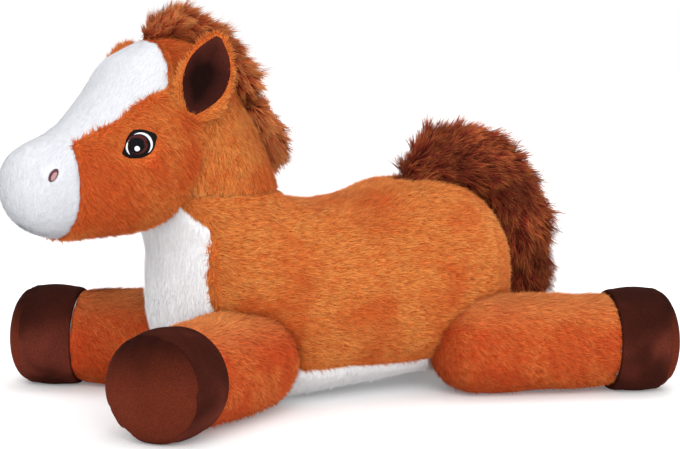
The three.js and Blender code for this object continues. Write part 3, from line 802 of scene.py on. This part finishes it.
# A stitched shape: drawn flat, puffed up from its edge, then laid on the head.
def addStitches(name, line, middle, level, thread, side, slotName, node=None):
    bm = bmesh.new()
    verts = [bm.verts.new((x / 1000, y / 1000, 0)) for x, y in line]
    bm.faces.new(verts)
    bmesh.ops.triangulate(bm, faces=bm.faces[:])
    for _ in range(2):
        longEdges = [edge for edge in bm.edges if edge.calc_length() > stitching["step"]]
        bmesh.ops.subdivide_edges(bm, edges=longEdges, cuts=1, use_grid_fill=True)
        bmesh.ops.triangulate(bm, faces=bm.faces[:])
    ends = [Vector((x / 1000, y / 1000)) for x, y in line]
    top = bmesh.ops.extrude_face_region(bm, geom=bm.faces[:], use_keep_orig=True)["geom"]
    raised = {item for item in top if isinstance(item, bmesh.types.BMVert)}
    bmesh.ops.recalc_face_normals(bm, faces=bm.faces[:])
    layer = bm.loops.layers.uv.new("OFBake")
    for face in bm.faces:
        for loop in face.loops:
            x, y = loop.vert.co.x, loop.vert.co.y
            loop[layer].uv = (math.atan2(y, x) / (2 * math.pi) * 0.06 + 0.5, math.hypot(x, y) + 0.3)
    back, azimuth = viewBack(), math.radians(shot["azimuth"])
    right = Vector((math.cos(azimuth), math.sin(azimuth), 0))
    up = back.cross(right)
    height = stitching["height"]
    for vert in bm.verts:
        flat = Vector((vert.co.x, vert.co.y))
        edge = min((flat - closestOn(flat, a, b)).length for a, b in zip(ends, ends[1:] + ends[:1]))
        puff = level - height
        if vert in raised:
            puff = level + height * stitching["puff"] * min(1, edge / stitching["puffReach"]) ** 0.5
        start = middle + right * flat.x + up * flat.y + back * 0.05
        hit, normal, _, _ = headTree.ray_cast(start, -back)
        vert.co = hit + normal * puff
        if side > 0:
            vert.co = mirrorHead @ vert.co
    if side > 0:
        bmesh.ops.reverse_faces(bm, faces=bm.faces[:])
    thing = finishMesh(bm, name, finishes[thread + "Thread"])
    declare(thing, "head", slotName, node=node)


def closestOn(point, a, b):
    along = b - a
    share = max(0, min(1, (point - a).dot(along) / max(along.length_squared, 1e-12)))
    return a + along * share


eyeMiddle = middleOf("eye_left")
nostrilMiddle = middleOf("nostril_left")
for sideName, side in sides.items():
    stem, lash = f"eye_{sideName}", eyeStitches["lash"]
    addStitches(stem + "_lash", softened(lash["line"]), eyeMiddle, lash["level"], "lash", side, "eye_thread", stem)
    for part, look in eyeStitches["ovals"].items():
        addStitches(f"{stem}_{part}", ovalLine(look), eyeMiddle, look["level"], look["thread"], side, "eye_thread")
    for index, arc in enumerate(eyeStitches["arcs"]):
        level = eyeStitches["arcLevel"]
        addStitches(f"{stem}_arc{index}", arcLine(arc), eyeMiddle, level, "white", side, "eye_thread")
    stem = f"nostril_{sideName}"
    for part, look in nostrilStitches.items():
        level, thread, node = look["level"], look["thread"], stem if part == "rim" else None
        addStitches(f"{stem}_{part}", ovalLine(look), nostrilMiddle, level, thread, side, "nostril_thread", node)
print("face embroidered")

# Legs, each turned about its own axis from the sewn root to the sole

legs = {
    "fore": {
        "root": (-0.079011, 0.044), "splay": 36, "forward": -1, "length": 0.125,
        "rootRadius": 0.036, "hoofRadius": 0.0365, "combed": -0.7,
    },
    "hind": {
        "root": (0.102989, 0.058), "splay": 17, "forward": 1, "length": 0.138,
        "rootRadius": 0.036, "hoofRadius": 0.038, "combed": 1.0,
    },
}
hoof = {
    "length": 0.038, "dome": 0.013, "sunk": 0.0006, "seam": 0.0016, "bulge": 0.0012,
    "topRound": 0.006, "rimRound": 0.005, "puckers": 9, "puckerDepth": 0.0018,
}
shankShares = [1.01, 1.0, 0.975, 0.96]


def legPlace(leg, side):
    x, y = leg["root"]
    pitch = math.asin((leg["hoofRadius"] - leg["rootRadius"]) / leg["length"])
    splay = math.radians(leg["splay"])
    level = math.cos(pitch)
    direction = Vector((leg["forward"] * math.cos(splay) * level, side * math.sin(splay) * level, math.sin(pitch)))
    turn = direction.to_track_quat("Z", "Y").to_matrix().to_4x4()
    return Matrix.Translation((x, side * y, leg["rootRadius"] - 0.0005)) @ turn, direction


def quarter(steps):
    return [math.pi / 2 * i / steps for i in range(steps + 1)]


def turnedForm(profile, steps):
    bm = bmesh.new()
    verts = [bm.verts.new((radius, 0, distance)) for radius, distance in profile]
    edges = [bm.edges.new(pair) for pair in zip(verts, verts[1:])]
    turn = {"cent": (0, 0, 0), "axis": (0, 0, 1), "angle": 2 * math.pi, "steps": steps, "use_merge": True}
    bmesh.ops.spin(bm, geom=verts + edges, **turn)
    bmesh.ops.remove_doubles(bm, verts=bm.verts, dist=1e-6)
    bmesh.ops.recalc_face_normals(bm, faces=bm.faces)
    return bm


# Gathers that a tight seam leaves on both sides of it.
def puckered(bm, distance, reach, seed):
    rng = random.Random(seed)
    marks = []
    for _ in range(hoof["puckers"]):
        marks.append((rng.uniform(0, 2 * math.pi), rng.uniform(0.05, 0.12), rng.uniform(0.5, 1)))
    for vert in bm.verts:
        fade = max(0, 1 - abs(vert.co.z - distance) / reach)
        angle = math.atan2(vert.co.y, vert.co.x)
        dent = 0
        for place, width, depth in marks:
            gap = abs((angle - place + math.pi) % (2 * math.pi) - math.pi)
            dent += depth * math.exp(-((gap / width) ** 2))
        radius = math.hypot(vert.co.x, vert.co.y)
        if radius > 0.004:
            share = 1 - hoof["puckerDepth"] * min(dent, 1) * fade / radius
            vert.co.x, vert.co.y = vert.co.x * share, vert.co.y * share


def settled(bm, place, floor=0.0005):
    bmesh.ops.transform(bm, matrix=place, verts=bm.verts)
    for vert in bm.verts:
        vert.co.z = max(vert.co.z, floor)
    bm.normal_update()


def addLeg(kind, leg, sideName, side):
    place, direction = legPlace(leg, side)
    body, stem = f"{sideName}_{kind}leg", f"{kind}_{sideName}"
    start, end, radius = leg["length"] - hoof["length"], leg["length"], leg["hoofRadius"]
    seed = len(stem) + (7 if side > 0 else 0)

    ball = [(leg["rootRadius"] * math.sin(angle), -leg["rootRadius"] * math.cos(angle)) for angle in quarter(9)]
    shares = [i / 18 for i in range(1, 19)]
    shank = [(leg["rootRadius"] * valueAlong(shankShares, share), start * share - 0.0004) for share in shares]
    sleeve = turnedForm(ball + shank[:-1] + [(shank[-1][0] - 0.0012, shank[-1][1])], 60)
    puckered(sleeve, start, 0.016, seed)
    settled(sleeve, place)
    rumpled(sleeve, 0.0016, 0.03, seed)

    comb = direction * leg["combed"] + Vector((0, 0, -0.6))
    local = place.inverted()

    def shortAtRim(spot, normal):
        return min(1, 0.3 + max(0, start - (local @ spot).z) / 0.012)

    dressCover(sleeve, stem + "_sleeve", body, "leg", "chestnut_plush", comb, shortPile, aboveFloor, shortAtRim)

    inner = [(across * 0.9, distance) for across, distance in ball + shank]
    inner += [(radius * 0.88, start + 0.01), (radius * 0.88, end - 0.003), (0, end + 0.007)]
    filling = turnedForm(inner, 40)
    settled(filling, place, 0.0035)
    addFilling(filling, stem + "_stuffing", body)

    seam, bulge, topRound, rimRound = hoof["seam"], hoof["bulge"], hoof["topRound"], hoof["rimRound"]
    wall = hoof["length"] - (topRound + rimRound)
    profile = [(radius - 0.0065, start + 0.0008), (radius - 0.004, start + 0.0002)]
    for angle in quarter(5):
        profile.append((radius - seam + seam * math.sin(angle), start + topRound * (1 - math.cos(angle))))
    for share in (0.2, 0.4, 0.6, 0.8):
        profile.append((radius + bulge * math.sin(math.pi * share), start + topRound + wall * share))
    for angle in quarter(5):
        profile.append((radius - seam * (1 - math.cos(angle)), end - rimRound + rimRound * math.sin(angle)))
    cuff = turnedForm(profile, 72)
    puckered(cuff, end, 0.014, seed + 1)
    settled(cuff, place)
    cuff = finishMesh(cuff, stem + "_cuff", finishes["hoofVelour"])
    thicken(cuff)
    declare(cuff, body, "hoof_velour", node=stem + "_hoof_cuff")

    profile, sunk = [(radius - seam - 0.0004, end - 0.003)], hoof["sunk"]
    for angle in quarter(14):
        across = (radius - seam) * max(0, math.cos(angle)) ** 0.75
        profile.append((across, end - sunk + (hoof["dome"] + sunk) * math.sin(angle) ** 1.1))
    sole = turnedForm(profile, 72)
    puckered(sole, end, 0.009, seed + 1)
    settled(sole, place)
    sole = finishMesh(sole, stem + "_soleCover", finishes["soleVelour"])
    thicken(sole)
    declare(sole, body, "hoof_velour", node=stem + "_sole")


for kind, leg in legs.items():
    for sideName, side in sides.items():
        addLeg(kind, leg, sideName, side)
print("legs dressed")

# Ears: a plush shell, and a velour leaf laid in its cup

ears = {
    "place": (-0.036, 0.040, 0.203),
    "yaw": 12,
    "lean": 22,
    "splay": 5,
    "voxel": 0.0012,
    "smoothing": 6,
    "pile": {"length": (0.0035, 0.0062), "density": 1500000},
    "leafShares": [0.2, 0.5, 0.74, 0.9, 0.98, 1.0, 0.97, 0.86, 0.68, 0.42, 0.1],
    "leafFoot": 0.003,
    "leafTip": 0.058,
    "leafHalfWidth": 0.0165,
    "leafCup": 0.0036,
    "leafLift": 0.0009,
    "leafThickness": 0.0024,
    "foldShadeStrength": 0.26,
    "reach": 0.03,
}


def earPlace(side):
    x, y, z = ears["place"]
    turns = (
        Matrix.Rotation(math.radians(side * ears["yaw"]), 4, "Z")
        @ Matrix.Rotation(math.radians(ears["lean"]), 4, "Y")
        @ Matrix.Rotation(math.radians(-side * ears["splay"]), 4, "X")
    )
    return headPlace @ Matrix.Translation((x, side * y, z)) @ turns


def leafWidth(share):
    return ears["leafHalfWidth"] * valueAlong(ears["leafShares"], share)


# No pile grows where the leaf is laid.
def besideLeaf(place, side):
    local = place.inverted()

    def coverAt(spot, normal):
        here = local @ spot
        share = (here.z - ears["leafFoot"] + 0.002) / (ears["leafTip"] - ears["leafFoot"] + 0.002)
        within = 0 < share < 1 and abs(here.x) < leafWidth(share) - 0.0005
        facing = (local.to_3x3() @ normal).y * side > -0.2
        return 0 if within and facing else 1

    return coverAt


def awayFromLeaf(place):
    local, turn = place.inverted(), place.to_3x3()

    def combAt(spot):
        across = (local @ spot).x / ears["leafHalfWidth"]
        return turn @ Vector((max(-1, min(1, across)) * 1.4, 0, 0.7))

    return combAt


for sideName, side in sides.items():
    place = earPlace(side)
    combAt = awayFromLeaf(place)
    bm = remeshed(copyOfNode(f"ear_{sideName}"), ears["voxel"])
    smoothed(bm, ears["smoothing"])
    shellTree = BVHTree.FromBMesh(bm)
    inward = place.to_3x3() @ Vector((0, -side, 0))
    shell = finishMesh(bm, f"ear_{sideName}_shell", finishes["torsoBacking"])
    settings = dict(shortPile, **ears["pile"])
    hair = addPile(shell, f"ear_{sideName}_pile", settings, finishes["torsoPile"], combAt, besideLeaf(place, side))
    declare(shell, f"{sideName}_ear", "chestnut_plush", f"ear_{sideName}")
    declare(hair, f"{sideName}_ear", "chestnut_plush")
    bm = bmesh.new()
    bmesh.ops.create_grid(bm, x_segments=12, y_segments=22, size=1)
    # Painted shade in the lining's fold: darkest down the leaf's middle, fading to its edges and ends.
    paintedFoldShade = bm.verts.layers.float.new("paintedFoldShade")
    for vert in bm.verts:
        share = (vert.co.y + 1) / 2
        vert[paintedFoldShade] = ears["foldShadeStrength"] * (1 - abs(vert.co.x)) ** 1.5 * math.sin(math.pi * share)
        across = vert.co.x * leafWidth(share)
        height = ears["leafFoot"] + (ears["leafTip"] - ears["leafFoot"]) * share
        outside = place @ Vector((across, side * ears["reach"], height))
        hit = shellTree.ray_cast(outside, inward, ears["reach"])[0]
        depth = (place.inverted() @ hit).y * side if hit else ears["leafCup"] * vert.co.x ** 2
        vert.co = Vector((across, side * (depth + ears["leafLift"]), height))
    bmesh.ops.smooth_vert(bm, verts=bm.verts, factor=0.5, use_axis_y=True)
    bmesh.ops.transform(bm, matrix=place, verts=bm.verts)
    bmesh.ops.recalc_face_normals(bm, faces=bm.faces)
    if sum(face.normal.dot(inward) for face in bm.faces) > 0:
        bmesh.ops.reverse_faces(bm, faces=bm.faces)
    leaf = finishMesh(bm, f"ear_lining_{sideName}_leaf", finishes["earVelour"])
    thicken(leaf, ears["leafThickness"])
    declare(leaf, f"{sideName}_ear", "ear_velour", f"ear_lining_{sideName}")
print("ears dressed")

# Mane, forelock and tail: a core of backing with long pile that is combed along each strip

hairCore = {"voxel": 0.003, "smoothing": 5}
hairPieces = {
    "mane": {
        "body": "trunk",
        "plush": "mane",
        "line": [(-0.1, 0.235), (-0.075, 0.2), (-0.06, 0.165), (-0.03, 0.14)],
        "shrink": 0.0005,
        "pile": {"density": 3200000, "length": (0.011, 0.02), "lift": (25, 65)},
    },
    "forelock": {
        "body": "head",
        "plush": "mane",
        "line": [(-0.14, 0.25), (-0.12, 0.268), (-0.1, 0.272), (-0.08, 0.25)],
        "shrink": 0.0015,
        "pile": {"length": (0.008, 0.014), "lift": (30, 68)},
    },
    "tail": {
        "body": "tail",
        "plush": "tail",
        "line": [
            (0.06, 0.15), (0.089, 0.163), (0.119, 0.17), (0.157, 0.154),
            (0.177, 0.116), (0.181, 0.074), (0.179, 0.034),
        ],
        "shrink": 0.006,
        "pile": {"density": 1850000, "width": 0.00072},
    },
}


def alongLine(line, place):
    spots = [Vector((x, 0, z)) for x, z in line]
    flat = Vector((place.x, 0, place.z))
    best = min(range(len(spots) - 1), key=lambda i: ((spots[i] + spots[i + 1]) / 2 - flat).length)
    return (spots[best + 1] - spots[best]).normalized()


for node, look in hairPieces.items():
    bm = remeshed(copyOfNode(node), hairCore["voxel"])
    smoothed(bm, hairCore["smoothing"])
    swollen(bm, -look["shrink"])
    tuft = finishMesh(bm, node + "_core", finishes[look["plush"] + "Backing"])
    settings, material = dict(longPile, **look["pile"]), finishes[look["plush"] + "Pile"]
    hair = addPile(tuft, node + "_pile", settings, material, lambda place: alongLine(look["line"], place))
    declare(tuft, look["body"], "long_pile", node)
    declare(hair, look["body"], "long_pile")
print("hair dressed")

# Studio

studio = {"ambient": 1.06, "floor": "#F0F0F0", "floorLift": 0.14, "floorSize": 6, "lampSpread": 40}
lamps = {
    "keyLamp": {"place": (-0.8, -1.4, 1.15), "power": 1.2},
    "topLamp": {"place": (0.5, 0.2, 1.7), "power": 0.5},
    "fillLamp": {"place": (-0.2, -1.5, 0.12), "power": 0.55},
}


def addStudio():
    bm = bmesh.new()
    bmesh.ops.create_grid(bm, x_segments=1, y_segments=1, size=studio["floorSize"])
    material, tree, shader = newMaterial("paleFloor", studio["floor"], 0.9, 0.0)
    shader.inputs["Base Color"].default_value = colour(studio["floor"])
    shader.inputs["Emission Color"].default_value = (1, 1, 1, 1)
    seen = addNode(tree, "ShaderNodeLightPath").outputs["Is Camera Ray"]
    lift = addNode(tree, "ShaderNodeMath", {0: seen, 1: studio["floorLift"]}, operation="MULTIPLY").outputs[0]
    tree.links.new(lift, shader.inputs["Emission Strength"])
    finishMesh(bm, "studioFloor", material, smooth=False)
    world = bpy.data.worlds.new("studioWorld")
    world.use_nodes = True
    tree = world.node_tree
    tree.nodes.clear()
    seen = addNode(tree, "ShaderNodeLightPath").outputs["Is Camera Ray"]
    soft = addNode(tree, "ShaderNodeBackground", {"Color": (1, 1, 1, 1), "Strength": studio["ambient"]})
    white = addNode(tree, "ShaderNodeBackground", {"Color": (1, 1, 1, 1), "Strength": 1.0})
    mix = addNode(tree, "ShaderNodeMixShader", {0: seen, 1: soft.outputs[0], 2: white.outputs[0]})
    addNode(tree, "ShaderNodeOutputWorld", {0: mix.outputs[0]})
    bpy.context.scene.world = world
    for name, look in lamps.items():
        data = bpy.data.lights.new(name, "SUN")
        data.angle, data.energy = math.radians(studio["lampSpread"]), look["power"]
        lamp = bpy.data.objects.new(name, data)
        lamp.location = look["place"]
        lamp.rotation_euler = Vector(look["place"]).to_track_quat("Z", "Y").to_euler()
        bpy.context.collection.objects.link(lamp)


addStudio()
bpy.context.scene.view_settings.view_transform = "Standard"
